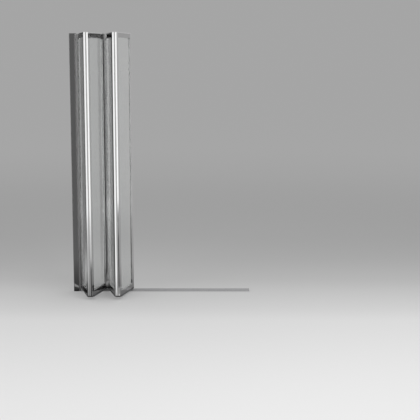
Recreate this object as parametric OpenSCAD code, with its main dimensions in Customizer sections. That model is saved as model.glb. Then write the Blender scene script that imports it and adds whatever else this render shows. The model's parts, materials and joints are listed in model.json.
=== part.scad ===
// Folding bath screen: four framed glass panels on full-length pin hinges, a two-part
// wall profile, and the low strip on the bath's rim that the opened panels close over.
// Origin: on the wall, on the line of the opened screen, level with the top of the rim.
// +X runs along the bath, +Y points into it and +Z is up. All sizes are millimetres.

/* [Panels] */
// Distance between neighbouring hinge axes
panel_pitch = 232; // [200:1:280]
// Height of a panel with its end caps
panel_h = 1400; // [1000:10:1600]
// Thickness of the frame profiles
frame_t = 12; // [11:0.5:18]
// Width of a stile's face
stile_w = 25; // [24:0.5:34]
// Height of a rail's face
rail_h = 25; // [24:0.5:40]
// Wall thickness of the frame profiles
profile_wall = 1.6; // [1.2:0.1:2]
// Rounding of the profiles' long edges
edge_r = 1.2; // [0.6:0.1:1.8]
// Height of the foot cap under each stile
foot_cap_h = 7; // [5:0.5:12]
// Thickness of the cap on top of each stile
top_cap_h = 2.5; // [1.5:0.5:5]
// How far a cap's plug reaches into its stile
plug_h = 4; // [3:0.5:5]

/* [Folding] */
// Angle from the line of the opened screen to the first panel
first_angle = 73.9; // [0:0.1:90]
// Angle that each panel is folded back on the one before, which is also the stop
fold_angle = 149.2; // [130:0.1:165]

/* [Glass] */
// Thickness of the glass
glass_t = 4; // [3:0.5:6]
// Thickness of the gasket on each side of the glass
gasket_t = 1; // [0.8:0.1:2.4]
// Depth of the pocket that holds the glass and its gasket
pocket_depth = 10; // [8:0.5:12]
// How far the glass reaches into its pocket
glass_grip = 8; // [6:0.5:8.5]
// How far the gasket stands out of the pocket
gasket_lip = 1.2; // [0.6:0.1:2]

/* [Hinges] */
// Number of knuckles along a hinge, an odd number
knuckle_count = 7; // [5:2:11]
// Radius of a knuckle
knuckle_r = 3; // [2.8:0.1:4.2]
// Radius of the hinge rod
rod_r = 1.5; // [1.2:0.1:2]
// Running clearance round the rod
rod_play = 0.05; // [0.02:0.01:0.1]
// Clearance between a knuckle and the stile it turns in
knuckle_play = 0.3; // [0.2:0.05:0.5]
// Space between neighbouring knuckles
knuckle_gap = 1.2; // [0.8:0.1:2]
// Space above and below a washer in that gap
washer_play = 0.1; // [0.05:0.05:0.2]
// Half of the space between the end faces of an opened pair of stiles
end_gap = 0.75; // [0.6:0.05:1.2]
// Distance from a stile's face out to the hinge axis
face_gap = 0.5; // [0.3:0.1:1]
// Half of the space left between two stop ribs of a folded pair
stop_gap = 0.15; // [0.1:0.05:0.3]
// Width of a stop rib's contact face
rib_w = 3.5; // [2:0.5:5]

/* [Wall profile] */
// How far the wall channel stands out from the wall
channel_reach = 28; // [24:0.5:30]
// Width of the wall channel across the screen
channel_w = 20; // [18.5:0.5:26]
// Wall thickness of the channel and the jamb in it
channel_wall = 1.5; // [1.2:0.1:2]
// Rounding of the channel's edges at the wall
channel_edge_r = 2.5; // [1:0.1:2.8]
// Sliding clearance between the channel and the jamb
jamb_play = 0.2; // [0.1:0.05:0.4]
// Distance from the wall to the first hinge axis, set by sliding the jamb
hinge_reach = 39.4; // [38:0.1:48]
// How far the jamb's flanks reach back into the channel
jamb_tail = 18; // [12:0.5:20]
// Distance from the profile's ends to the outer wall screws
wall_screw_margin = 100; // [60:5:200]
// Radius of the wall screw holes
wall_hole_r = 2.6; // [2:0.1:3]

/* [Screws] */
// Radius of a screw's shank
screw_r = 1.7; // [1.4:0.05:1.9]
// Length of a frame screw under its head
frame_screw_len = 27; // [22:1:40]
// Length of a lock screw under its head
lock_screw_len = 8; // [5:0.5:10]
// Radius of a screw's head
head_r = 2.2; // [2:0.1:2.4]
// Thickness of a screw's head
head_h = 2; // [1.5:0.1:2.2]
// Radius of the cover over a lock screw
cover_r = 5.5; // [5:0.5:8]

/* [Seals] */
// Height of the soft lips under a panel
lip_h = 3.7; // [2.5:0.1:6]
// Thickness of a soft lip
lip_t = 1.1; // [0.8:0.1:1.5]
// Clearance between the lips and the strip they pass over
lip_gap = 0.3; // [0.2:0.1:1]
// Width of a panel's bottom seal
seal_w = 10; // [9:0.5:10.5]
// How far the soft edge seal stands out past the last stile
edge_seal_reach = 6; // [4:0.5:9]

/* [Rim strip] */
// Height of the strip on the bath's rim
strip_h = 14; // [10:0.5:20]
// Width of the strip on the bath's rim
strip_w = 28; // [22:1:40]
// Radius of the strip's crest
crest_r = 3; // [2.2:0.1:4]
// Height of the strip's upright edges
strip_edge_h = 2.4; // [2:0.1:4]
// Wall thickness of the strip
strip_wall = 1.5; // [1.2:0.1:2]
// Thickness of the adhesive tape under the strip
tape_t = 0.6; // [0.5:0.1:1.2]
// Width of the adhesive tape
tape_w = 21; // [12:1:21]
// How far the strip reaches past the opened screen
strip_over = 6; // [2:0.5:30]
// Thickness of the strip's end cap
strip_cap_t = 2; // [1.5:0.5:4]

/* [Hidden] */
$fn = 48;
eps = 1;            // how far a cutter runs past what it cuts
panel_count = 4;
fit = 0.2;          // clearance round a cap's plug, an anchor or a screw's head
plug_play = 0.05;   // clearance round the plug of a screw's access hole

// Heights
foot_z = strip_h + lip_gap + lip_h;
metal_z = foot_z + foot_cap_h;
top_z = foot_z + panel_h;
metal_top = top_z - top_cap_h;
metal_h = metal_top - metal_z;

// Hinge line
axis_off = frame_t / 2 + face_gap;
relief_r = knuckle_r + knuckle_play;
bore_r = rod_r + rod_play;
knuckle_pitch = metal_h / knuckle_count;
washer_t = knuckle_gap - 2 * washer_play;
last_knuckle = knuckle_count - 1;

// Frame profiles
pocket_w = glass_t + 2 * gasket_t;
pocket_wall_x = stile_w - pocket_depth - profile_wall;
access_r = head_r + fit;
groove_mouth = 3;
groove_w = 6;
groove_lip = 1.4;
groove_depth = 3.8;
port_r = screw_r + rod_play;
port_z = (groove_depth + rail_h - pocket_depth) / 2;
hinge_frame_x = end_gap + stile_w;
end_stile_x = panel_pitch - 4;

// Wall profile
jamb_t = channel_w - 2 * channel_wall - 2 * jamb_play;
jamb_end = hinge_reach - end_gap;
nose_x = jamb_end - profile_wall - stile_w / 2;
lock_x = (nose_x - jamb_tail + channel_reach) / 2 + jamb_play;

// Rim strip: its slopes run from the upright edges to touch the crest
strip_rise = strip_h - crest_r - strip_edge_h;
strip_lean = atan2(strip_rise, strip_w / 2) + asin(crest_r / norm([strip_w / 2, strip_rise]));
strip_x0 = jamb_end;
strip_x1 = hinge_reach + (panel_count - 1) * panel_pitch + end_stile_x
    + edge_seal_reach + strip_over;

// A vector turned by an angle about Z
function turned(v, a) = [v.x * cos(a) - v.y * sin(a), v.x * sin(a) + v.y * cos(a)];

// Odd panels close on the side away from the bath, at their hinge end, and even ones towards it
function hinge_side(n) = n % 2 == 1 ? -1 : 1;
function panel_angle(n) = n == 1 ? -first_angle
    : panel_angle(n - 1) - hinge_side(n - 1) * fold_angle;
function axis_at(n) = n == 1 ? [hinge_reach, -axis_off]
    : axis_at(n - 1) + turned([panel_pitch, -2 * hinge_side(n - 1) * axis_off], panel_angle(n - 1));
function frame_right(n) = (n == panel_count ? end_stile_x : panel_pitch - end_gap) - stile_w;
function own(i, leading) = leading ? i % 2 == 0 : i % 2 == 1;

// Places a panel's own frame: x along the panel from its hinge axis, y across it from its middle
module in_panel(n) {
    translate([axis_at(n).x, axis_at(n).y, 0])
        rotate([0, 0, panel_angle(n)])
            translate([0, -hinge_side(n) * axis_off, 0])
                children();
}

// Turns a piece drawn with its hinge axis on the +y side over to the side given
module on_side(side) {
    if (side < 0) mirror([0, 1, 0]) children();
    else children();
}

module at_hinge_end(n) {
    in_panel(n) on_side(hinge_side(n)) children();
}

module at_lead_end(n) {
    in_panel(n) translate([panel_pitch, 0, 0]) mirror([1, 0, 0]) on_side(-hinge_side(n)) children();
}

module at_free_end(n) {
    in_panel(n) translate([end_stile_x, 0, 0]) mirror([1, 0, 0]) children();
}

module rounded(size, r) {
    translate([r, 0]) square([size.x - 2 * r, size.y]);
    translate([0, r]) square([size.x, size.y - 2 * r]);
    for (x = [r, size.x - r], y = [r, size.y - r])
        translate([x, y]) circle(r = r);
}

// Groove that a soft profile's anchor slides into, open towards -y
module seal_groove() {
    translate([-groove_mouth / 2, -eps]) square([groove_mouth, groove_lip + 2 * eps]);
    translate([-groove_w / 2, groove_lip]) square([groove_w, groove_depth - groove_lip]);
}

module seal_anchor() {
    translate([-groove_mouth / 2 + fit, -eps])
        square([groove_mouth - 2 * fit, groove_lip + 2 * fit + eps]);
    translate([-groove_w / 2 + fit, groove_lip + fit])
        square([groove_w - 2 * fit, groove_depth - groove_lip - 2 * fit]);
}

// Rib beside the knuckles whose face meets its twin's when the pair is folded to its stop
module stop_rib() {
    slope = tan((180 - fold_angle) / 2);
    x0 = relief_r + profile_wall / 2;
    x1 = x0 + rib_w;
    x2 = x1 + 1.5 * rib_w;
    root = frame_t / 2 - profile_wall / 2;
    polygon([
        [x2, root],
        [x2, frame_t / 2],
        [x1, axis_off + x1 * slope - stop_gap],
        [x0, axis_off + x0 * slope - stop_gap],
        [x0, root]
    ]);
}

module stile_outline() {
    translate([end_gap, -frame_t / 2]) rounded([stile_w, frame_t], edge_r);
    stop_rib();
}

// Hollow of a stile, kept one wall away from the hinge
module stile_hollow(clear = 0) {
    inset = profile_wall + clear;
    difference() {
        translate([end_gap + inset, -frame_t / 2 + inset])
            square([pocket_wall_x - profile_wall - 2 * clear, frame_t - 2 * inset]);
        translate([0, axis_off]) circle(r = relief_r + inset);
    }
}

module glass_pocket(x) {
    translate([x - pocket_depth, -pocket_w / 2]) square([pocket_depth + eps, pocket_w]);
}

module stile_section() {
    difference() {
        stile_outline();
        stile_hollow();
        glass_pocket(hinge_frame_x);
    }
}

// The hinge rod's line, drawn from the bottom of the metal up
module on_axis() {
    translate([0, axis_off, metal_z]) children();
}

module knuckles(leading) {
    for (i = [0:last_knuckle])
        if (own(i, leading)) {
            z0 = i * knuckle_pitch + (i == 0 ? 0 : knuckle_gap / 2);
            z1 = (i + 1) * knuckle_pitch - (i == last_knuckle ? 0 : knuckle_gap / 2);
            translate([0, 0, z0]) cylinder(r = knuckle_r, h = z1 - z0);
        }
}

// Room for the knuckles of the piece on the other side of the hinge
module knuckle_room(leading) {
    for (i = [0:last_knuckle])
        if (!own(i, leading)) {
            z0 = i * knuckle_pitch - (i == 0 ? eps : knuckle_gap / 2);
            z1 = (i + 1) * knuckle_pitch + (i == last_knuckle ? eps : knuckle_gap / 2);
            translate([0, 0, z0]) cylinder(r = relief_r, h = z1 - z0);
        }
}

module rod_bore() {
    translate([0, 0, -eps]) cylinder(r = bore_r, h = metal_h + 2 * eps);
}

// Heights of the frame screws, one into the end of each rail
function screw_heights() = [metal_z + port_z, metal_top - port_z];

// Holes through a stile for its frame screws: access in the outer wall, shank in the inner one
module frame_screw_holes(x0) {
    for (z = screw_heights()) {
        translate([x0 - eps, 0, z]) rotate([0, 90, 0])
            cylinder(r = access_r, h = pocket_wall_x - head_h + eps);
        translate([x0, 0, z]) rotate([0, 90, 0])
            cylinder(r = port_r, h = stile_w);
    }
}

module hinged_stile(leading) {
    difference() {
        union() {
            difference() {
                translate([0, 0, metal_z]) linear_extrude(metal_h) stile_section();
                on_axis() knuckle_room(leading);
            }
            on_axis() knuckles(leading);
        }
        on_axis() rod_bore();
        frame_screw_holes(end_gap);
    }
}

// Last panel's outer stile: the edge seal's groove takes the place of the hinge
module end_stile_section() {
    difference() {
        translate([0, -frame_t / 2]) rounded([stile_w, frame_t], edge_r);
        end_stile_hollow();
        glass_pocket(stile_w);
        rotate([0, 0, -90]) seal_groove();
    }
}

module end_stile_hollow(clear = 0) {
    x0 = groove_depth + profile_wall + clear;
    translate([x0, -frame_t / 2 + profile_wall + clear])
        square([pocket_wall_x - x0 - clear, frame_t - 2 * profile_wall - 2 * clear]);
}

// Rail section, y up from the rail's outer edge to the glass
module rail_section(grooved) {
    floor_y = grooved ? groove_depth + profile_wall : profile_wall;
    inner_w = frame_t - 2 * profile_wall;
    difference() {
        union() {
            difference() {
                translate([-frame_t / 2, 0]) rounded([frame_t, rail_h], edge_r);
                translate([-inner_w / 2, floor_y])
                    square([inner_w, rail_h - pocket_depth - profile_wall - floor_y]);
            }
            translate([0, port_z]) circle(r = port_r + profile_wall);
            translate([-inner_w / 2, port_z - profile_wall / 2]) square([inner_w, profile_wall]);
        }
        translate([0, port_z]) circle(r = port_r);
        translate([-pocket_w / 2, rail_h - pocket_depth]) square([pocket_w, pocket_depth + eps]);
        if (grooved) seal_groove();
    }
}

// Runs a section drawn in (across, up) along a panel from x0 to x1
module along_panel(x0, x1) {
    translate([x0, 0, 0]) rotate([90, 0, 90]) linear_extrude(x1 - x0) children();
}

module rail(n, z, grooved) {
    translate([0, 0, z]) along_panel(hinge_frame_x, frame_right(n)) rail_section(grooved);
}

module panel_block(n, reach, thickness) {
    x0 = hinge_frame_x - reach;
    z0 = metal_z + rail_h - reach;
    translate([x0, -thickness / 2, z0])
        cube([frame_right(n) + reach - x0, thickness, metal_top - rail_h + reach - z0]);
}

// One screw driven towards +x: its head's seat is at x = 0
module screw(len) {
    rotate([0, 90, 0]) {
        translate([0, 0, -head_h]) cylinder(r = head_r, h = head_h);
        cylinder(r = screw_r, h = len);
    }
}

module frame_screws_at(x0) {
    for (z = screw_heights())
        translate([x0 + pocket_wall_x, 0, z]) screw(frame_screw_len);
}

// Plugs that close the access holes, flush with the stile's end face
module screw_plugs_at(x0) {
    for (z = screw_heights())
        translate([x0, 0, z]) rotate([0, 90, 0])
            cylinder(r = access_r - plug_play, h = 2 * profile_wall);
}

// Caps on both ends of a stile; the leading stile's also close the hinge rod in
module stile_caps(leading) {
    for (top = [false, true]) {
        cap_h = top ? top_cap_h : foot_cap_h;
        translate([0, 0, top ? metal_top : foot_z]) linear_extrude(cap_h) difference() {
            union() {
                stile_outline();
                if (leading) translate([0, axis_off]) circle(r = knuckle_r);
            }
            if (!leading) translate([0, axis_off]) circle(r = relief_r);
        }
        translate([0, 0, top ? metal_top - plug_h : metal_z]) linear_extrude(plug_h)
            stile_hollow(fit);
    }
}

module end_stile_caps() {
    for (top = [false, true]) {
        cap_h = top ? top_cap_h : foot_cap_h;
        translate([0, 0, top ? metal_top : foot_z]) linear_extrude(cap_h)
            translate([0, -frame_t / 2]) rounded([stile_w, frame_t], edge_r);
        translate([0, 0, top ? metal_top - plug_h : metal_z]) linear_extrude(plug_h)
            end_stile_hollow(fit);
    }
}

// Bottom seal section hanging from the rail: anchor, body and two spread lips
module bottom_seal_section() {
    w = seal_w / 2;
    tip = -foot_cap_h - lip_h;
    seal_anchor();
    polygon([
        [-w, 0],
        [-w, tip],
        [lip_t - w, tip],
        [2 * lip_t - w, -foot_cap_h],
        [w - 2 * lip_t, -foot_cap_h],
        [w - lip_t, tip],
        [w, tip],
        [w, 0]
    ]);
}

module edge_seal_section() {
    bulb_r = edge_seal_reach / 2;
    rotate([0, 0, -90]) seal_anchor();
    difference() {
        union() {
            translate([-bulb_r, -bulb_r]) square([bulb_r, 2 * bulb_r]);
            translate([-bulb_r, 0]) circle(r = bulb_r);
        }
        translate([-bulb_r, 0]) circle(r = bulb_r - lip_t);
    }
}

// ---- Wall side ----

// Outline of the wall channel, square where it is open and rounded where it meets the wall
module channel_outline() {
    half_w = channel_w / 2;
    translate([channel_edge_r, -half_w]) square([channel_reach - channel_edge_r, channel_w]);
    translate([0, channel_edge_r - half_w]) square([channel_reach, channel_w - 2 * channel_edge_r]);
    for (y = [channel_edge_r - half_w, half_w - channel_edge_r])
        translate([channel_edge_r, y]) circle(r = channel_edge_r);
}

module wall_channel() {
    color("silver") difference() {
        linear_extrude(metal_top) difference() {
            channel_outline();
            translate([channel_wall, -channel_w / 2 + channel_wall])
                square([channel_reach, channel_w - 2 * channel_wall]);
        }
        for (z = wall_screw_heights())
            translate([-eps, 0, z]) rotate([0, 90, 0])
                cylinder(r = wall_hole_r, h = channel_wall + 2 * eps);
        for (z = lock_heights())
            translate([lock_x, 0, z]) rotate([-90, 0, 0]) cylinder(r = port_r, h = channel_w);
    }
}

function wall_screw_heights() =
    [for (i = [0:3]) wall_screw_margin + i * (metal_top - 2 * wall_screw_margin) / 3];
function lock_heights() = [metal_top / 6, metal_top / 2, metal_top * 5 / 6];

// Jamb section: a nose like a stile's edge, and two flanks that slide in the wall channel
module jamb_section() {
    difference() {
        union() {
            translate([nose_x, -frame_t / 2])
                rounded([jamb_end - nose_x, frame_t], edge_r);
            translate([nose_x - jamb_tail, -jamb_t / 2]) square([jamb_tail, jamb_t]);
        }
        translate([nose_x - jamb_tail - eps, -jamb_t / 2 + channel_wall])
            square([jamb_tail - channel_wall + eps, jamb_t - 2 * channel_wall]);
        jamb_hollow();
    }
}

module jamb_hollow(clear = 0) {
    inset = profile_wall + clear;
    difference() {
        translate([nose_x + clear, -frame_t / 2 + inset])
            square([jamb_end - profile_wall - nose_x - 2 * clear, frame_t - 2 * inset]);
        translate([hinge_reach, -axis_off]) circle(r = relief_r + inset);
    }
}

module at_wall_axis(z) {
    translate([hinge_reach, -axis_off, z]) children();
}

module wall_jamb() {
    color("silver") difference() {
        union() {
            difference() {
                linear_extrude(metal_top) jamb_section();
                at_wall_axis(metal_z) knuckle_room(true);
            }
            at_wall_axis(metal_z) knuckles(true);
            at_wall_axis(foot_z) cylinder(r = knuckle_r, h = foot_cap_h);
        }
        at_wall_axis(metal_z) cylinder(r = bore_r, h = metal_h + eps);
        for (z = lock_heights())
            translate([lock_x, 0, z]) rotate([-90, 0, 0]) cylinder(r = port_r, h = channel_w);
    }
}

module on_channel_side(z) {
    translate([lock_x, channel_w / 2, z]) children();
}

module jamb_lock_screws() {
    color("gainsboro") for (z = lock_heights())
        on_channel_side(z) rotate([0, 0, -90]) screw(lock_screw_len);
}

module lock_screw_covers() {
    color("whitesmoke") for (z = lock_heights())
        on_channel_side(z) rotate([-90, 0, 0]) difference() {
            cylinder(r1 = cover_r, r2 = cover_r - 1, h = head_h + 1);
            translate([0, 0, -eps]) cylinder(r = head_r + fit, h = head_h + fit + eps);
        }
}

module wall_top_cap() {
    color("silver") {
        translate([0, 0, metal_top]) linear_extrude(top_cap_h) {
            channel_outline();
            translate([nose_x, -frame_t / 2]) rounded([jamb_end - nose_x, frame_t], edge_r);
            translate([hinge_reach, -axis_off]) circle(r = knuckle_r);
        }
        translate([0, 0, metal_top - plug_h]) linear_extrude(plug_h) jamb_hollow(fit);
    }
}

module wall_foot_plug() {
    color("dimgray") linear_extrude(foot_z) jamb_hollow(fit);
}

// ---- Rim strip ----

// Round crest of radius r, and the two slopes that run down from its sides to base_z
module strip_outline(r, base_z) {
    shoulder_r = r - 0.05;
    shoulder_x = shoulder_r * sin(strip_lean);
    shoulder_z = strip_h - crest_r + shoulder_r * cos(strip_lean);
    foot_x = shoulder_x + (shoulder_z - base_z) / tan(strip_lean);
    translate([0, strip_h - crest_r]) circle(r = r);
    polygon([
        [foot_x, base_z],
        [shoulder_x, shoulder_z],
        [-shoulder_x, shoulder_z],
        [-foot_x, base_z]
    ]);
}

module strip_section(hollow) {
    difference() {
        intersection() {
            strip_outline(crest_r, tape_t);
            translate([-strip_w / 2, 0]) square([strip_w, strip_h + eps]);
        }
        if (hollow) difference() {
            strip_outline(crest_r - strip_wall, tape_t + strip_wall);
            translate([-strip_wall / 2, 0]) square([strip_wall, strip_h]);
        }
    }
}

module rim_strip() {
    color("gray") along_panel(strip_x0, strip_x1) strip_section(true);
}

module rim_strip_end_cap() {
    color("gray") along_panel(strip_x1, strip_x1 + strip_cap_t) strip_section(false);
}

module rim_strip_tape() {
    color("white") translate([strip_x0, -tape_w / 2, 0]) cube([strip_x1 - strip_x0, tape_w, tape_t]);
}

// ---- Hinges ----

// Hinge n joins panel n to the panel before it, or to the jamb
module at_hinge(n) {
    translate([axis_at(n).x, axis_at(n).y, metal_z]) children();
}

module hinge_rod(n) {
    color("lightgray") at_hinge(n) cylinder(r = rod_r, h = metal_h - fit);
}

module hinge_washers(n) {
    color("white") at_hinge(n) for (i = [1:last_knuckle])
        translate([0, 0, i * knuckle_pitch - washer_t / 2]) difference() {
            cylinder(r = knuckle_r - fit, h = washer_t);
            translate([0, 0, -eps]) cylinder(r = bore_r, h = washer_t + 2 * eps);
        }
}

// ---- Panels ----

module glass(n) {
    color("lightblue", 0.4) in_panel(n) panel_block(n, glass_grip, glass_t);
}

module hinge_stile(n) {
    color("silver") at_hinge_end(n) hinged_stile(false);
}

module lead_stile(n) {
    color("silver") at_lead_end(n) hinged_stile(true);
}

module end_stile(n) {
    color("silver") at_free_end(n) difference() {
        translate([0, 0, metal_z]) linear_extrude(metal_h) end_stile_section();
        frame_screw_holes(0);
    }
}

module top_rail(n) {
    color("silver") in_panel(n) translate([0, 0, metal_top]) mirror([0, 0, 1]) rail(n, 0, false);
}

module bottom_rail(n) {
    color("silver") in_panel(n) rail(n, metal_z, true);
}

module gasket(n) {
    color("darkgray") in_panel(n) difference() {
        panel_block(n, pocket_depth, pocket_w);
        panel_block(n, -gasket_lip, pocket_w + 2 * eps);
        panel_block(n, glass_grip, glass_t);
    }
}

module bottom_seal(n) {
    color("dimgray") in_panel(n) translate([0, 0, metal_z])
        along_panel(hinge_frame_x, frame_right(n)) bottom_seal_section();
}

module frame_screws(n) {
    color("gainsboro") {
        at_hinge_end(n) frame_screws_at(end_gap);
        if (n < panel_count) at_lead_end(n) frame_screws_at(end_gap);
        else at_free_end(n) frame_screws_at(0);
    }
}

module screw_plugs(n) {
    color("silver") {
        at_hinge_end(n) screw_plugs_at(end_gap);
        if (n < panel_count) at_lead_end(n) screw_plugs_at(end_gap);
    }
}

module end_caps(n) {
    color("dimgray") {
        at_hinge_end(n) stile_caps(false);
        if (n < panel_count) at_lead_end(n) stile_caps(true);
        else at_free_end(n) end_stile_caps();
    }
}

module edge_seal(n) {
    color("gray") at_free_end(n) translate([0, 0, metal_z]) linear_extrude(metal_h)
        edge_seal_section();
}

wall_channel();
wall_jamb();
jamb_lock_screws();
lock_screw_covers();
wall_top_cap();
wall_foot_plug();
rim_strip();
rim_strip_end_cap();
rim_strip_tape();
hinge_rod(1);  // hinge_1_rod
hinge_rod(2);  // hinge_2_rod
hinge_rod(3);  // hinge_3_rod
hinge_rod(4);  // hinge_4_rod
hinge_washers(1);  // hinge_1_washers
hinge_washers(2);  // hinge_2_washers
hinge_washers(3);  // hinge_3_washers
hinge_washers(4);  // hinge_4_washers
glass(1);  // panel_1_glass
glass(2);  // panel_2_glass
glass(3);  // panel_3_glass
glass(4);  // panel_4_glass
hinge_stile(1);  // panel_1_hinge_stile
hinge_stile(2);  // panel_2_hinge_stile
hinge_stile(3);  // panel_3_hinge_stile
hinge_stile(4);  // panel_4_hinge_stile
lead_stile(1);  // panel_1_lead_stile
lead_stile(2);  // panel_2_lead_stile
lead_stile(3);  // panel_3_lead_stile
end_stile(4);  // panel_4_end_stile
top_rail(1);  // panel_1_top_rail
top_rail(2);  // panel_2_top_rail
top_rail(3);  // panel_3_top_rail
top_rail(4);  // panel_4_top_rail
bottom_rail(1);  // panel_1_bottom_rail
bottom_rail(2);  // panel_2_bottom_rail
bottom_rail(3);  // panel_3_bottom_rail
bottom_rail(4);  // panel_4_bottom_rail
gasket(1);  // panel_1_gasket
gasket(2);  // panel_2_gasket
gasket(3);  // panel_3_gasket
gasket(4);  // panel_4_gasket
bottom_seal(1);  // panel_1_bottom_seal
bottom_seal(2);  // panel_2_bottom_seal
bottom_seal(3);  // panel_3_bottom_seal
bottom_seal(4);  // panel_4_bottom_seal
frame_screws(1);  // panel_1_frame_screws
frame_screws(2);  // panel_2_frame_screws
frame_screws(3);  // panel_3_frame_screws
frame_screws(4);  // panel_4_frame_screws
screw_plugs(1);  // panel_1_screw_plugs
screw_plugs(2);  // panel_2_screw_plugs
screw_plugs(3);  // panel_3_screw_plugs
screw_plugs(4);  // panel_4_screw_plugs
end_caps(1);  // panel_1_end_caps
end_caps(2);  // panel_2_end_caps
end_caps(3);  // panel_3_end_caps
end_caps(4);  // panel_4_end_caps
edge_seal(4);  // panel_4_edge_seal
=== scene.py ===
# Dresses the folding bath screen: finishes for the aluminium, glass, rubber and plastic,
# the soft seals and small fittings, a pale studio floor, soft lamps and the camera.
import json
import math

import bpy
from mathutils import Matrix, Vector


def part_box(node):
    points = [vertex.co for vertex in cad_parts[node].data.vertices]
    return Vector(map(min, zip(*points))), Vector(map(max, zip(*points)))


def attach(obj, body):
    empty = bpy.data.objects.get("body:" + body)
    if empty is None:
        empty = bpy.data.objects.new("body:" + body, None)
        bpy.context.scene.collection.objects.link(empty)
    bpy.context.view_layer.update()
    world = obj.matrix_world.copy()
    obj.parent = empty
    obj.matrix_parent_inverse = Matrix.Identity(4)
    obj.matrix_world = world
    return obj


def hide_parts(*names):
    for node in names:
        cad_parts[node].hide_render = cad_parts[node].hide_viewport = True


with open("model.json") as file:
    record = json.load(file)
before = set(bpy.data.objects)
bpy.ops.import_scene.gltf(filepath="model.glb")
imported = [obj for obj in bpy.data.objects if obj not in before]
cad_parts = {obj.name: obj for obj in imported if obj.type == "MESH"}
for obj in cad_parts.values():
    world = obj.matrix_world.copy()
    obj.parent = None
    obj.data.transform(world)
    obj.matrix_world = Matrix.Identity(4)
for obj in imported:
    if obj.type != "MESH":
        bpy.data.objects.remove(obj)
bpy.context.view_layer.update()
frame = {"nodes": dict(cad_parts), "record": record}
nodes = frame["nodes"]
bpy.ops.object.select_all(action="DESELECT")
print("frame loaded:", len(nodes), "pieces")

panels = {
    "count": 4,
    "pitch": 0.232,          # hinge axis to hinge axis
    "firstAngle": -73.9,     # degrees, panel 1 from the line of the opened screen
    "fold": 149.2,           # degrees each panel is folded back on the one before
    "axisOff": 0.0065,       # hinge axis from a panel's middle
    "hingeReach": 0.0394,    # first hinge axis from the wall
}


def panelAngle(n):
    return math.radians(panels["firstAngle"] + (0 if n % 2 else panels["fold"]))


def foldSide(n):             # the side of panel n where its hinge towards the wall lies
    return -1 if n % 2 else 1


def hingeAxis(n):
    x, y = panels["hingeReach"], -panels["axisOff"]
    for k in range(1, n):
        angle, across = panelAngle(k), -2 * foldSide(k) * panels["axisOff"]
        x += panels["pitch"] * math.cos(angle) - across * math.sin(angle)
        y += panels["pitch"] * math.sin(angle) + across * math.cos(angle)
    return x, y


def addNode(tree, kind, settings=None, values=None):
    node = tree.nodes.new(kind)
    for name, value in (settings or {}).items():
        setattr(node, name, value)
    for name, value in (values or {}).items():
        node.inputs[name].default_value = value
    return node


def newMaterial(name, values):
    mat = bpy.data.materials.new(name)
    mat.use_nodes = True
    shader = mat.node_tree.nodes["Principled BSDF"]
    for key, value in values.items():
        shader.inputs[key].default_value = value
    return mat, mat.node_tree, shader


def grain(tree, scale, angle=0.0):      # a noise cell's size in metres, and how far it is turned
    source = addNode(tree, "ShaderNodeTexCoord")
    place = addNode(tree, "ShaderNodeMapping", {"vector_type": "TEXTURE"})
    place.inputs["Rotation"].default_value = (0, 0, angle)
    place.inputs["Scale"].default_value = scale
    tree.links.new(source.outputs["Object"], place.inputs["Vector"])
    return place.outputs["Vector"]


def noiseOn(tree, vector, detail=3.0):
    tex = addNode(tree, "ShaderNodeTexNoise",
                  values={"Scale": 1.0, "Detail": detail, "Roughness": 0.55})
    tree.links.new(vector, tex.inputs["Vector"])
    return tex.outputs["Fac"]


def spread(tree, fac, low, high, inLow=0.3, inHigh=0.7):
    remap = addNode(tree, "ShaderNodeMapRange", values={
        "From Min": inLow, "From Max": inHigh, "To Min": low, "To Max": high})
    tree.links.new(fac, remap.inputs["Value"])
    return remap.outputs["Result"]


def tones(tree, fac, dark, light):
    mix = addNode(tree, "ShaderNodeMix", {"data_type": "RGBA"})
    mix.inputs["A"].default_value = (*dark, 1)
    mix.inputs["B"].default_value = (*light, 1)
    tree.links.new(fac, mix.inputs["Factor"])
    return mix.outputs["Result"]


def rampOf(tree, fac, shades):          # shades: a place and a grey tone, from first to last
    ramp = addNode(tree, "ShaderNodeValToRGB")
    tree.links.new(fac, ramp.inputs["Fac"])
    stops = ramp.color_ramp.elements
    first, last = shades[0][0], shades[-1][0]
    for place, tone in shades:
        along = (place - first) / (last - first)
        stop = stops[0] if along == 0 else stops[-1] if along == 1 else stops.new(along)
        stop.color = (tone, tone, tone, 1)
    return ramp


def anyRay(tree, *kinds):               # 1 for a ray of any of these kinds
    rays = addNode(tree, "ShaderNodeLightPath")
    found = rays.outputs[kinds[0]]
    for kind in kinds[1:]:
        either = addNode(tree, "ShaderNodeMath", {"operation": "MAXIMUM"})
        tree.links.new(found, either.inputs[0])
        tree.links.new(rays.outputs[kind], either.inputs[1])
        found = either.outputs[0]
    return found


def mixShaders(tree, fac, first, second):
    mix = addNode(tree, "ShaderNodeMixShader")
    tree.links.new(fac, mix.inputs[0])
    tree.links.new(first, mix.inputs[1])
    tree.links.new(second, mix.inputs[2])
    return mix.outputs[0]


def relief(tree, shader, height, strength, distance):
    bump = addNode(tree, "ShaderNodeBump", values={"Strength": strength, "Distance": distance})
    tree.links.new(height, bump.inputs["Height"])
    tree.links.new(bump.outputs["Normal"], shader.inputs["Normal"])


# Sizes of noise cells are in metres, a bump is its strength and its height in metres
metal = {
    "upright": (0.0022, 0.0022, 0.6),    # draw lines up a stile
    "level": (0.6, 0.0022, 0.0022),      # and along a rail
    "cloud": (0.12, 0.12, 0.12),
    "lineShare": 0.7,
    "cloudShare": 0.3,
    "tone": 0.74,
    # the top rails' tone: the same metal made darker, painted shade
    "topRailShadeTone": 0.58,
    "darker": 0.05,
    "lighter": 0.03,
    "rough": (0.03, 0.08),
    "jambRough": (0.32, 0.4),
    "bump": (0.025, 0.00008),
}


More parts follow.
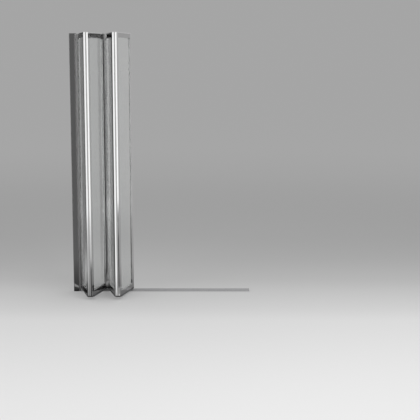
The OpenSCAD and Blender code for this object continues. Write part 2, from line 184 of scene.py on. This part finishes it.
def profileMetal(name, scale, angle=0.0, tone=metal["tone"], rough=metal["rough"]):
    mat, tree, shader = newMaterial(name, {"Metallic": 1.0, "Specular IOR Level": 0.5})
    streak = noiseOn(tree, grain(tree, scale, angle), 4.0)
    cloud = noiseOn(tree, grain(tree, metal["cloud"]), 2.0)
    faint = addNode(tree, "ShaderNodeMath", {"operation": "MULTIPLY"}, {1: metal["cloudShare"]})
    tree.links.new(cloud, faint.inputs[0])
    both = addNode(tree, "ShaderNodeMath", {"operation": "MULTIPLY_ADD"}, {1: metal["lineShare"]})
    tree.links.new(streak, both.inputs[0])
    tree.links.new(faint.outputs[0], both.inputs[2])
    colour = tones(tree, both.outputs[0],
                   (tone - metal["darker"],) * 3, (tone + metal["lighter"],) * 3)
    tree.links.new(colour, shader.inputs["Base Color"])
    tree.links.new(spread(tree, both.outputs[0], *rough), shader.inputs["Roughness"])
    relief(tree, shader, streak, *metal["bump"])
    return mat


glass = {
    "tint": (0.966, 0.976, 0.972, 1),
    "marks": (0.05, 0.05, 0.16),
    "rough": (0.0, 0.02),
    "marked": (0.45, 0.8),               # the noise that goes from clean to marked
}


def paneGlass(name):
    mat, tree, shader = newMaterial(name, {
        "Base Color": glass["tint"], "Transmission Weight": 1.0, "IOR": 1.5})
    marks = noiseOn(tree, grain(tree, glass["marks"]))
    tree.links.new(spread(tree, marks, *glass["rough"], *glass["marked"]),
                   shader.inputs["Roughness"])
    return mat


rubber = {
    "cloud": (0.02, 0.02, 0.02),
    "fine": (0.0006, 0.0006, 0.0006),
    "smoother": 0.08,
    "rougher": 0.12,
    "bump": (0.15, 0.0001),
}


def softRubber(name, dark, light, rough):
    mat, tree, shader = newMaterial(name, {"Specular IOR Level": 0.4})
    cloud = noiseOn(tree, grain(tree, rubber["cloud"]))
    fine = noiseOn(tree, grain(tree, rubber["fine"]), 2.0)
    tree.links.new(tones(tree, cloud, dark, light), shader.inputs["Base Color"])
    tree.links.new(spread(tree, cloud, rough - rubber["smoother"], rough + rubber["rougher"]),
                   shader.inputs["Roughness"])
    relief(tree, shader, fine, *rubber["bump"])
    return mat


vinyl = {
    "cloud": (0.02, 0.02, 0.05),
    "dark": (0.78, 0.8, 0.8),
    "light": (0.9, 0.91, 0.91),
    "rough": (0.1, 0.22),
}


def clearVinyl(name):
    mat, tree, shader = newMaterial(name, {
        "Base Color": (*vinyl["light"], 1), "Transmission Weight": 0.85, "IOR": 1.42})
    cloud = noiseOn(tree, grain(tree, vinyl["cloud"]))
    tree.links.new(spread(tree, cloud, *vinyl["rough"]), shader.inputs["Roughness"])
    colour = tones(tree, cloud, vinyl["dark"], vinyl["light"])
    tree.links.new(colour, shader.inputs["Base Color"])
    return mat


plastic = {
    "cloud": (0.015, 0.015, 0.015),
    "fine": (0.0004, 0.0004, 0.0004),
    "smoother": 0.06,
    "rougher": 0.1,
    "bump": (0.1, 0.00005),
}


def mouldedPlastic(name, dark, light, rough=0.32):
    mat, tree, shader = newMaterial(name, {"Specular IOR Level": 0.5})
    cloud = noiseOn(tree, grain(tree, plastic["cloud"]))
    fine = noiseOn(tree, grain(tree, plastic["fine"]), 2.0)
    tree.links.new(tones(tree, cloud, dark, light), shader.inputs["Base Color"])
    tree.links.new(spread(tree, cloud, rough - plastic["smoother"], rough + plastic["rougher"]),
                   shader.inputs["Roughness"])
    relief(tree, shader, fine, *plastic["bump"])
    return mat


caps = {                                 # painted shade at the foot of a panel and a painted reflection at its top: dark below, grey above
    "cloud": (0.012, 0.012, 0.012),
    "footDark": (0.035, 0.035, 0.035),
    "footLight": (0.065, 0.065, 0.065),
    "topDark": (0.46, 0.46, 0.46),
    "topLight": (0.54, 0.54, 0.54),
    "splitAt": 0.7,                      # metres up
    "rough": (0.26, 0.42),
}


def capsPaintedShadeAndReflection(name):
    mat, tree, shader = newMaterial(name, {"Specular IOR Level": 0.5})
    source = addNode(tree, "ShaderNodeTexCoord")
    split = addNode(tree, "ShaderNodeSeparateXYZ")
    tree.links.new(source.outputs["Object"], split.inputs[0])
    # above this height the caps are painted grey as a reflection, below it dark as painted shade
    upper = addNode(tree, "ShaderNodeMath", {"operation": "GREATER_THAN"}, {1: caps["splitAt"]})
    tree.links.new(split.outputs["Z"], upper.inputs[0])
    cloud = noiseOn(tree, grain(tree, caps["cloud"]))
    pair = addNode(tree, "ShaderNodeMix", {"data_type": "RGBA"})
    tree.links.new(upper.outputs[0], pair.inputs["Factor"])
    tree.links.new(tones(tree, cloud, caps["footDark"], caps["footLight"]), pair.inputs["A"])
    tree.links.new(tones(tree, cloud, caps["topDark"], caps["topLight"]), pair.inputs["B"])
    tree.links.new(pair.outputs["Result"], shader.inputs["Base Color"])
    tree.links.new(spread(tree, cloud, *caps["rough"]), shader.inputs["Roughness"])
    fine = noiseOn(tree, grain(tree, plastic["fine"]), 2.0)
    relief(tree, shader, fine, *plastic["bump"])
    return mat


steel = {
    "rings": (0.01, 0.01, 0.0004),
    "dark": (0.52, 0.53, 0.54),
    "light": (0.7, 0.7, 0.7),
    "rough": (0.2, 0.36),
    "bump": (0.1, 0.00005),
}


def turnedSteel(name):
    mat, tree, shader = newMaterial(name, {"Metallic": 1.0})
    rings = noiseOn(tree, grain(tree, steel["rings"]), 2.0)
    tree.links.new(tones(tree, rings, steel["dark"], steel["light"]),
                   shader.inputs["Base Color"])
    tree.links.new(spread(tree, rings, *steel["rough"]), shader.inputs["Roughness"])
    relief(tree, shader, rings, *steel["bump"])
    return mat


finishes = {
    "profile_metal": profileMetal("profileMetal", metal["upright"]),
    "safety_glass": paneGlass("safetyGlass"),
    "gasket_rubber": clearVinyl("gasketVinyl"),
    "seal_rubber": softRubber(
        "sealRubber", dark=(0.028, 0.029, 0.03), light=(0.045, 0.046, 0.048), rough=0.38),
    "cap_plastic": mouldedPlastic(
        "capPlastic", dark=(0.05, 0.052, 0.055), light=(0.085, 0.087, 0.09)),
    "cover_plastic": mouldedPlastic(
        "coverPlastic", dark=(0.62, 0.62, 0.62), light=(0.7, 0.7, 0.7)),
    "screw_steel": turnedSteel("screwSteel"),
    "rod_steel": turnedSteel("rodSteel"),
    "washer_nylon": mouldedPlastic(
        "washerNylon", dark=(0.6, 0.6, 0.58), light=(0.72, 0.72, 0.7), rough=0.4),
    "strip_plastic": mouldedPlastic(
        "stripPlastic", dark=(0.275, 0.275, 0.28), light=(0.315, 0.315, 0.32)),
    "tape_foam": softRubber(
        "tapeFoam", dark=(0.6, 0.6, 0.6), light=(0.75, 0.75, 0.75), rough=0.8),
}
edgeRubber = softRubber(
    "edgeRubber", dark=(0.62, 0.625, 0.625), light=(0.7, 0.705, 0.705), rough=0.3)
dripRubber = softRubber(
    "dripRubber", dark=(0.1, 0.101, 0.103), light=(0.14, 0.142, 0.144), rough=0.38)
# near-black sealant: painted shade for the contact shadow where the channel meets the wall
wallSealantShade = softRubber(
    "wallSealantShade", dark=(0.006, 0.006, 0.0065), light=(0.012, 0.012, 0.013), rough=0.6)
panelCapsPaintedLight = capsPaintedShadeAndReflection("panelCapsPaintedLight")
jambMetal = profileMetal("jambMetal", metal["upright"], rough=metal["jambRough"])
railMetal = {}                           # panels 1 and 3 stand one way, 2 and 4 the other
# top rails take the darker tone as painted shade, bottom rails the metal's own tone
for row, tone in (("top", metal["topRailShadeTone"]), ("bottom", metal["tone"])):
    for odd, word in ((1, "Odd"), (0, "Even")):
        railMetal[row, odd] = profileMetal(
            row + "RailMetal" + word, metal["level"], panelAngle(2 - odd), tone)
print("finishes:", len(finishes) + len(railMetal))

slotOf = {part["node"]: part["material_slot"] for part in frame["record"]["subparts"]}
for name, node in nodes.items():
    mat = finishes[slotOf[name]]
    if name.endswith("_rail"):           # panel_n_top_rail or panel_n_bottom_rail
        n, row = name.split("_")[1:3]
        mat = railMetal[row, int(n) % 2]
    if name.endswith("_end_caps"):
        mat = panelCapsPaintedLight
    if name == "wall_jamb":
        mat = jambMetal
    node.data.materials.clear()
    node.data.materials.append(mat)
print("pieces finished:", len(nodes))

modelling = {
    "near": 0.0001,          # metres, places closer than this count as one
    "merge": 0.000005,       # metres, points closer than this become one
    "sharp": 50,             # degrees, from which an edge is rounded
    "smooth": 35,            # degrees, up to which a bend is shaded smooth
}


def slab(low, high):
    bpy.ops.object.select_all(action="DESELECT")
    bpy.ops.mesh.primitive_cube_add(
        size=1, location=[(a + b) / 2 for a, b in zip(low, high)],
        scale=[b - a for a, b in zip(low, high)])
    bpy.ops.object.transform_apply(location=True, rotation=True, scale=True)
    return bpy.context.object


def pick(piece, test, kind="FACE"):
    bpy.ops.object.mode_set(mode="EDIT")
    bpy.ops.mesh.select_mode(type=kind)
    bpy.ops.mesh.select_all(action="DESELECT")
    bpy.ops.object.mode_set(mode="OBJECT")
    for part in (piece.data.polygons if kind == "FACE" else piece.data.vertices):
        part.select = test(part)
    bpy.ops.object.mode_set(mode="EDIT")


def shape(piece, kind, **settings):
    step = piece.modifiers.new(kind.lower(), kind)
    for key, value in settings.items():
        setattr(step, key, value)
    bpy.ops.object.modifier_apply(modifier=step.name)


def join(parts):
    bpy.ops.object.select_all(action="DESELECT")
    for part in parts:
        part.select_set(True)
    bpy.context.view_layer.objects.active = parts[0]
    if len(parts) > 1:
        bpy.ops.object.join()
    return parts[0]


def seatOnPanel(piece, n):
    x, y = hingeAxis(n)
    angle, across = panelAngle(n), -foldSide(n) * panels["axisOff"]
    piece.location = (x - across * math.sin(angle), y + across * math.cos(angle), 0)
    piece.rotation_euler = (0, 0, angle)
    bpy.ops.object.transform_apply(location=True, rotation=True, scale=True)


def finishPiece(piece, name, body, slot, mat, *stoodFor):
    bpy.ops.object.mode_set(mode="EDIT")
    bpy.ops.mesh.select_all(action="SELECT")
    bpy.ops.mesh.remove_doubles(threshold=modelling["merge"])
    bpy.ops.mesh.normals_make_consistent(inside=False)
    bpy.ops.object.mode_set(mode="OBJECT")
    bpy.ops.object.shade_smooth_by_angle(angle=math.radians(modelling["smooth"]))
    piece.name = name
    piece.data.name = name
    piece.data.materials.clear()
    piece.data.materials.append(mat)
    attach(piece, body)
    if stoodFor:
        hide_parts(*stoodFor)


gasket = {
    "left": 0.02575,         # the opening, along the panel from its hinge axis
    "right": 0.20625,
    "lastRight": 0.203,
    "bottom": 0.05,
    "top": 1.3905,
    "hidden": 0.0095,        # how far it reaches into the pocket
    "lip": 0.0012,           # how far it shows round the glass
    "middle": 0.0025,        # from the middle of the glass to the middle of the lip
    "thick": 0.00094,
    "round": 0.0003,
}


def openingEnd(n):
    return gasket["lastRight"] if n == panels["count"] else gasket["right"]


for n in range(1, panels["count"] + 1):
    right = openingEnd(n)
    wide = right - gasket["left"] + 2 * gasket["hidden"]
    tall = gasket["top"] - gasket["bottom"] + 2 * gasket["hidden"]
    bpy.ops.object.select_all(action="DESELECT")
    bpy.ops.mesh.primitive_plane_add(
        size=1, rotation=(math.pi / 2, 0, 0),
        location=((gasket["left"] + right) / 2, gasket["middle"],
                  (gasket["bottom"] + gasket["top"]) / 2))
    ring = bpy.context.object
    ring.scale = (wide, tall, 1)
    bpy.ops.object.transform_apply(location=True, rotation=True, scale=True)
    pick(ring, lambda face: True)
    bpy.ops.mesh.inset(thickness=gasket["hidden"] + gasket["lip"], depth=0)
    bpy.ops.mesh.delete(type="FACE")
    bpy.ops.object.mode_set(mode="OBJECT")
    shape(ring, "SOLIDIFY", thickness=gasket["thick"], offset=0.0)
    shape(ring, "BEVEL", width=gasket["round"], segments=3, limit_method="ANGLE",
          angle_limit=math.radians(modelling["sharp"]))
    shape(ring, "MIRROR", use_axis=(False, True, False))
    seatOnPanel(ring, n)
    finishPiece(ring, "panel_%d_glazing_seal" % n, "panel_%d" % n, "gasket_rubber",
                finishes["gasket_rubber"], "panel_%d_gasket" % n)
print("glazing seals:", panels["count"])

dripSeal = {
    "half": 0.0046,          # half the width of its body
    "floorZ": 0.0143,        # tips of the two fins
    "neckZ": 0.0195,
    "topZ": 0.025,
    "finIn": 0.0024,
    "finOut": 0.0035,
    "overlap": 0.001,        # how far the fins reach into the body
    "splay": 0.0015,         # how far the fins' tips lean out
    "belly": 0.0004,         # how far their middles bulge
    "round": 0.0003,
}
midZ = (dripSeal["floorZ"] + dripSeal["neckZ"]) / 2
for n in range(1, panels["count"] + 1):
    left, right = gasket["left"], openingEnd(n)
    body = slab((left, -dripSeal["half"], dripSeal["neckZ"] - dripSeal["overlap"]),
                (right, dripSeal["half"], dripSeal["topZ"]))
    fins = []
    for side in (-1, 1):
        across = sorted((side * dripSeal["finIn"], side * dripSeal["finOut"]))
        fin = slab((left, across[0], dripSeal["floorZ"]),
                   (right, across[1], dripSeal["neckZ"]))
        pick(fin, lambda face: True)
        bpy.ops.mesh.bisect(plane_co=(0, 0, midZ), plane_no=(0, 0, 1))
        bpy.ops.object.mode_set(mode="OBJECT")
        pick(fin, lambda vert: vert.co.z < midZ - modelling["near"], "VERT")
        bpy.ops.transform.translate(value=(0, side * dripSeal["splay"], 0))
        bpy.ops.object.mode_set(mode="OBJECT")
        pick(fin, lambda vert: abs(vert.co.z - midZ) < modelling["near"], "VERT")
        bpy.ops.transform.translate(value=(0, side * dripSeal["belly"], 0))
        bpy.ops.object.mode_set(mode="OBJECT")
        fins.append(fin)
    seal = join([body] + fins)
    shape(seal, "BEVEL", width=dripSeal["round"], segments=2, limit_method="ANGLE",
          angle_limit=math.radians(modelling["sharp"]))
    seatOnPanel(seal, n)
    finishPiece(seal, "panel_%d_drip_seal" % n, "panel_%d" % n, "seal_rubber",
                dripRubber, "panel_%d_bottom_seal" % n)
print("drip seals:", panels["count"])

edgeSeal = {
    "radius": 0.003,
    "sides": 28,
    "reach": 0.228,          # the end stile's outer face, from the panel's hinge axis
    "gap": 0.00005,          # between that face and the seal's flat side
    "bottom": 0.0255,
    "top": 1.415,
    "wall": 0.0009,
}
middle = edgeSeal["reach"] + edgeSeal["radius"]
bpy.ops.object.select_all(action="DESELECT")
bpy.ops.mesh.primitive_cylinder_add(
    vertices=edgeSeal["sides"], radius=edgeSeal["radius"], end_fill_type="NOTHING",
    depth=edgeSeal["top"] - edgeSeal["bottom"],
    location=(middle, 0, (edgeSeal["bottom"] + edgeSeal["top"]) / 2))
bulb = bpy.context.object
bpy.ops.object.transform_apply(location=True, rotation=True, scale=True)
pick(bulb, lambda vert: vert.co.x < middle - modelling["near"], "VERT")
bpy.ops.transform.resize(
    value=(0, 1, 1), center_override=(edgeSeal["reach"] + edgeSeal["gap"], 0, 0))
bpy.ops.object.mode_set(mode="OBJECT")
shape(bulb, "SOLIDIFY", thickness=edgeSeal["wall"], offset=-1.0)
seatOnPanel(bulb, panels["count"])
finishPiece(bulb, "panel_4_edge_bulb", "panel_4", "seal_rubber", edgeRubber, "panel_4_edge_seal")
print("edge seal made")

foamTape = {"endsIn": 0.0005, "sidesIn": 0.0002, "round": 0.0002}
low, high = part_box("rim_strip_tape")
tape = slab((low.x + foamTape["endsIn"], low.y + foamTape["sidesIn"], low.z),
            (high.x - foamTape["endsIn"], high.y - foamTape["sidesIn"], high.z))
shape(tape, "BEVEL", width=foamTape["round"], segments=2, limit_method="ANGLE")
finishPiece(tape, "rim_strip_foam_tape", "wall_side", "tape_foam", finishes["tape_foam"],
            "rim_strip_tape")

bead = {                     # sealant beads in the corner of the wall and the channel's sides, near-black as painted shade for the contact shadow there
    "wallGap": 0.00005,
    "wide": 0.0023,
    "deep": 0.0024,
    "outside": 0.0099,
    "top": 1.4155,
    "round": 0.0006,
}
beads = []
for side in (-1, 1):
    across = sorted((side * bead["outside"], side * (bead["outside"] - bead["deep"])))
    beads.append(slab((bead["wallGap"], across[0], 0.0), (bead["wide"], across[1], bead["top"])))
sealantShade = join(beads)
shape(sealantShade, "BEVEL", width=bead["round"], segments=3, limit_method="ANGLE")
finishPiece(sealantShade, "wall_sealant_shade_beads", "wall_side", "seal_rubber", wallSealantShade)
print("tape and sealant made")

screwCover = {
    "sides": 40,
    "dome": 0.0014,
    "cavity": 0.0026,        # radius of the hollow for the screw's head
    "deep": 0.0022,
}
low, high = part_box("lock_screw_covers")
radius = (high.x - low.x) / 2
domes = []
for z in (low.z + radius, (low.z + high.z) / 2, high.z - radius):
    bpy.ops.object.select_all(action="DESELECT")
    bpy.ops.mesh.primitive_cylinder_add(
        vertices=screwCover["sides"], radius=radius, depth=high.y - low.y,
        rotation=(math.pi / 2, 0, 0),
        location=((low.x + high.x) / 2, (low.y + high.y) / 2, z))
    dome = bpy.context.object
    bpy.ops.object.transform_apply(location=True, rotation=True, scale=True)
    pick(dome, lambda face: face.normal.y < -0.9)
    bpy.ops.mesh.inset(thickness=radius - screwCover["cavity"], depth=0)
    bpy.ops.mesh.extrude_region_move(
        TRANSFORM_OT_translate={"value": (0, screwCover["deep"], 0)})
    bpy.ops.object.mode_set(mode="OBJECT")
    pick(dome, lambda face: face.normal.y > 0.9 and face.center.y > high.y - modelling["near"])
    bpy.ops.mesh.bevel(offset=screwCover["dome"], segments=5, affect="EDGES")
    bpy.ops.object.mode_set(mode="OBJECT")
    domes.append(dome)
covers = join(domes)
finishPiece(covers, "jamb_screw_domes", "wall_side", "cover_plastic",
            finishes["cover_plastic"], "lock_screw_covers")
print("screw covers:", len(domes))

ground = {
    "size": 1200,
    "drop": 0.0004,          # how far it lies under the screen
    "shades": [              # metres behind the line of the strip, and a tone; together a painted pool of light, pale in front and darker behind
        (-2.5, 0.72), (-0.63, 0.63), (-0.42, 0.59), (0.0, 0.51), (0.28, 0.46), (0.9, 0.41),
        (2.0, 0.385), (6.0, 0.43), (15.0, 0.472)],
    "farTone": 0.472,
    "far": (3.0, 11.0),      # metres from the origin, over which it blends into that tone
    "rough": 0.95,
    "glow": 1.03,            # brings the painted glow to the tone of the lit floor
    "paintedGlowShare": 0.4,        # share of painted light glowing near the screen, standing in for light through the panes, that lifts the screen's shadow
    "paintedGlowFade": (0.5, 2.2),  # metres from the origin, over which that painted light fades
}
bpy.ops.object.select_all(action="DESELECT")
bpy.ops.mesh.primitive_plane_add(size=ground["size"], location=(0, 0, -ground["drop"]))
floor = bpy.context.object
floor.name = "studioFloor"
bpy.ops.object.transform_apply(location=True, rotation=True, scale=True)
mat, tree, shader = newMaterial("studioFloor", {
    "Roughness": ground["rough"], "Specular IOR Level": 0.0})
coords = addNode(tree, "ShaderNodeTexCoord")
split = addNode(tree, "ShaderNodeSeparateXYZ")
tree.links.new(coords.outputs["Object"], split.inputs[0])
fade = addNode(tree, "ShaderNodeMapRange", values={
    "From Min": ground["shades"][0][0], "From Max": ground["shades"][-1][0]})
tree.links.new(split.outputs["Y"], fade.inputs["Value"])
# painted pool of light on the floor: pale in front of the screen, darker behind it
ramp = rampOf(tree, fade.outputs["Result"], ground["shades"])
ramp.color_ramp.interpolation = "B_SPLINE"
away = addNode(tree, "ShaderNodeVectorMath", {"operation": "LENGTH"})
tree.links.new(coords.outputs["Object"], away.inputs[0])
far = addNode(tree, "ShaderNodeMapRange", {"interpolation_type": "SMOOTHSTEP"}, {
    "From Min": ground["far"][0], "From Max": ground["far"][1]})
tree.links.new(away.outputs["Value"], far.inputs["Value"])
blend = addNode(tree, "ShaderNodeMix", {"data_type": "RGBA"})
blend.inputs["B"].default_value = (*[ground["farTone"]] * 3, 1)
tree.links.new(far.outputs["Result"], blend.inputs["Factor"])
tree.links.new(ramp.outputs["Color"], blend.inputs["A"])
tree.links.new(blend.outputs["Result"], shader.inputs["Base Color"])
# painted light: near the screen the floor glows for camera and transmission rays, lifting the
# screen's shadow
glow = addNode(tree, "ShaderNodeEmission", values={"Strength": ground["glow"]})
tree.links.new(blend.outputs["Result"], glow.inputs["Color"])
close = addNode(tree, "ShaderNodeMapRange", {"interpolation_type": "SMOOTHSTEP"}, {
    "From Min": ground["paintedGlowFade"][0], "From Max": ground["paintedGlowFade"][1],
    "To Min": ground["paintedGlowShare"], "To Max": 0.0})
tree.links.new(away.outputs["Value"], close.inputs["Value"])
share = addNode(tree, "ShaderNodeMath", {"operation": "MULTIPLY"})
tree.links.new(anyRay(tree, "Is Camera Ray", "Is Transmission Ray"), share.inputs[0])
tree.links.new(close.outputs["Result"], share.inputs[1])
lifted = mixShaders(tree, share.outputs[0], shader.outputs[0], glow.outputs[0])
tree.links.new(lifted, tree.nodes["Material Output"].inputs["Surface"])
floor.data.materials.append(mat)
print("floor laid")

# Two glowing cards that only mirrored rays meet, painted reflections for the metal and glass:
# degrees clockwise from the far side, and a tone
cards = {
    "centre": (0.2, -0.1),
    "radius": 4.0,
    "height": 4.2,
    "drop": 0.0002,          # how far the cards' foot lies under the screen
    "sides": 96,
    "wallTones": [
        (-180, 0.125), (-150, 0.125), (-149, 1.4), (-141, 1.4), (-138, 0.2), (-112, 0.15),
        (-104, 0.4), (-88, 0.4), (-80, 0.05), (-10, 0.05), (-3, 1.3), (22, 1.3), (28, 0.49),
        (39, 0.49), (47, 0.1), (76, 0.1), (84, 0.4), (100, 0.4), (108, 0.15), (132, 0.15),
        (137, 1.3), (171, 1.3), (174, 0.125), (180, 0.125)],
    "floorTones": [
        (-180, 0.13), (-153, 0.13), (-150, 0.75), (-138, 0.75), (-130, 0.15), (-62, 0.1),
        (-50, 0.04), (-10, 0.04), (0, 0.2), (20, 0.4), (60, 0.4), (128, 0.3),
        (138, 1.2), (152, 1.2), (154.5, 0.6), (172, 0.55), (176, 0.13), (180, 0.13)],
    "floorCentre": (0.05, -0.07),        # the floor's degrees are counted round this point
    "rimFrom": 1.4,          # from here outwards the floor card blends into the wall card
}
underScreenShadow = {              # the floor card's dark patch, a painted shadow under the screen in what the metal mirrors
    "middle": (0.05, 0.03),
    "from": 0.15,            # metres from its middle, over which it lightens
    "to": 1.0,
    "least": 0.35,
}


def mirrorCard(card, name, shades, centre, shadow=None):
    card.name = name
    bpy.ops.object.transform_apply(location=True, rotation=True, scale=True)
    mat = bpy.data.materials.new(name)
    mat.use_nodes = True
    tree = mat.node_tree
    tree.nodes.clear()
    coords = addNode(tree, "ShaderNodeTexCoord")
    shift = addNode(tree, "ShaderNodeMapping")
    shift.inputs["Location"].default_value = (-centre[0], -centre[1], 0)
    split = addNode(tree, "ShaderNodeSeparateXYZ")
    tree.links.new(coords.outputs["Object"], shift.inputs["Vector"])
    tree.links.new(shift.outputs["Vector"], split.inputs[0])
    heading = addNode(tree, "ShaderNodeMath", {"operation": "ARCTAN2"})
    tree.links.new(split.outputs["X"], heading.inputs[0])
    tree.links.new(split.outputs["Y"], heading.inputs[1])
    turn = addNode(tree, "ShaderNodeMapRange",
                   values={"From Min": -math.pi, "From Max": math.pi})
    tree.links.new(heading.outputs[0], turn.inputs["Value"])
    colour = rampOf(tree, turn.outputs["Result"], shades).outputs["Color"]
    # the cards' glow is painted reflection
    glow = addNode(tree, "ShaderNodeEmission")
    if shadow:               # painted shadow right under the screen, and like the wall card at its rim
        reach = addNode(tree, "ShaderNodeVectorMath", {"operation": "LENGTH"})
        tree.links.new(coords.outputs["Object"], reach.inputs[0])
        rim = addNode(tree, "ShaderNodeMapRange", {"interpolation_type": "SMOOTHSTEP"}, {
            "From Min": cards["rimFrom"], "From Max": cards["radius"]})
        tree.links.new(reach.outputs["Value"], rim.inputs["Value"])
        wall = rampOf(tree, turn.outputs["Result"], cards["wallTones"])
        blend = addNode(tree, "ShaderNodeMix", {"data_type": "RGBA"})
        tree.links.new(rim.outputs["Result"], blend.inputs["Factor"])
        tree.links.new(colour, blend.inputs["A"])
        tree.links.new(wall.outputs["Color"], blend.inputs["B"])
        colour = blend.outputs["Result"]
        away = addNode(tree, "ShaderNodeVectorMath", {"operation": "DISTANCE"})
        away.inputs[1].default_value = (*shadow["middle"], 0)
        tree.links.new(coords.outputs["Object"], away.inputs[0])
        depth = addNode(tree, "ShaderNodeMapRange", values={
            "From Min": shadow["from"], "From Max": shadow["to"], "To Min": shadow["least"]})
        tree.links.new(away.outputs["Value"], depth.inputs["Value"])
        tree.links.new(depth.outputs["Result"], glow.inputs["Strength"])
    tree.links.new(colour, glow.inputs["Color"])
    clear = addNode(tree, "ShaderNodeBsdfTransparent")   # for rays that no surface has mirrored
    rays = addNode(tree, "ShaderNodeLightPath")
    mirrored = addNode(tree, "ShaderNodeMath", {"operation": "GREATER_THAN"}, {1: 0.5})
    tree.links.new(rays.outputs["Glossy Depth"], mirrored.inputs[0])
    output = addNode(tree, "ShaderNodeOutputMaterial")
    tree.links.new(mixShaders(tree, mirrored.outputs[0], clear.outputs[0], glow.outputs[0]),
                   output.inputs["Surface"])
    card.data.materials.append(mat)
    card.visible_camera = False
    card.visible_diffuse = False
    card.visible_shadow = False


bpy.ops.object.select_all(action="DESELECT")
bpy.ops.mesh.primitive_cylinder_add(
    vertices=cards["sides"], radius=cards["radius"], depth=cards["height"],
    end_fill_type="NOTHING", location=(*cards["centre"], cards["height"] / 2 - cards["drop"]))
mirrorCard(bpy.context.object, "wallCard", cards["wallTones"], cards["centre"])
bpy.ops.object.select_all(action="DESELECT")
bpy.ops.mesh.primitive_circle_add(
    vertices=cards["sides"], radius=cards["radius"], fill_type="NGON",
    location=(*cards["centre"], -cards["drop"]))
mirrorCard(bpy.context.object, "floorCard", cards["floorTones"], cards["floorCentre"], underScreenShadow)
print("mirror cards stand")

sky = {"ambient": 0.8, "backdrop": 0.378}
world = bpy.data.worlds.new("studioWorld")
bpy.context.scene.world = world
world.use_nodes = True
tree = world.node_tree
tree.nodes.clear()
seen = anyRay(tree, "Is Camera Ray", "Is Glossy Ray", "Is Transmission Ray")
colour = tones(tree, seen, (sky["ambient"],) * 3, (sky["backdrop"],) * 3)
background = addNode(tree, "ShaderNodeBackground")
tree.links.new(colour, background.inputs["Color"])
output = addNode(tree, "ShaderNodeOutputWorld")
tree.links.new(background.outputs[0], output.inputs["Surface"])

lamps = {
    "target": (0.2, -0.1, 0.6),
    "keyLamp": {"place": (2.0, -2.6, 3.2), "size": 2.0, "power": 55},
    "fillLamp": {"place": (-2.2, -2.4, 2.6), "size": 2.0, "power": 20},
}


def softLamp(name, place, size, power):
    lampData = bpy.data.lights.new(name, "AREA")
    lampData.shape = "RECTANGLE"
    lampData.size = lampData.size_y = size
    lampData.energy = power
    lamp = bpy.data.objects.new(name, lampData)
    bpy.context.scene.collection.objects.link(lamp)
    lamp.location = place
    away = [a - b for a, b in zip(place, lamps["target"])]
    flat = math.hypot(away[0], away[1])
    lamp.rotation_euler = (math.atan2(flat, away[2]), 0, math.atan2(away[0], -away[1]))
    lamp.visible_camera = False
    lamp.visible_glossy = False


for name in ("keyLamp", "fillLamp"):
    softLamp(name, **lamps[name])
print("studio ready")

camera = {
    "place": (0.748, -5.341, 1.226),
    "turn": (81.8, 0.0, -0.117),         # degrees
    "lens": 83.66,                       # millimetres, like the sensor
    "sensor": 36,
}
camData = bpy.data.cameras.new("camera")
camData.lens = camera["lens"]
camData.sensor_width = camera["sensor"]
cam = bpy.data.objects.new("camera", camData)
bpy.context.scene.collection.objects.link(cam)
cam.location = camera["place"]
cam.rotation_euler = [math.radians(a) for a in camera["turn"]]
bpy.context.scene.camera = cam
bpy.context.scene.view_settings.view_transform = "Standard"
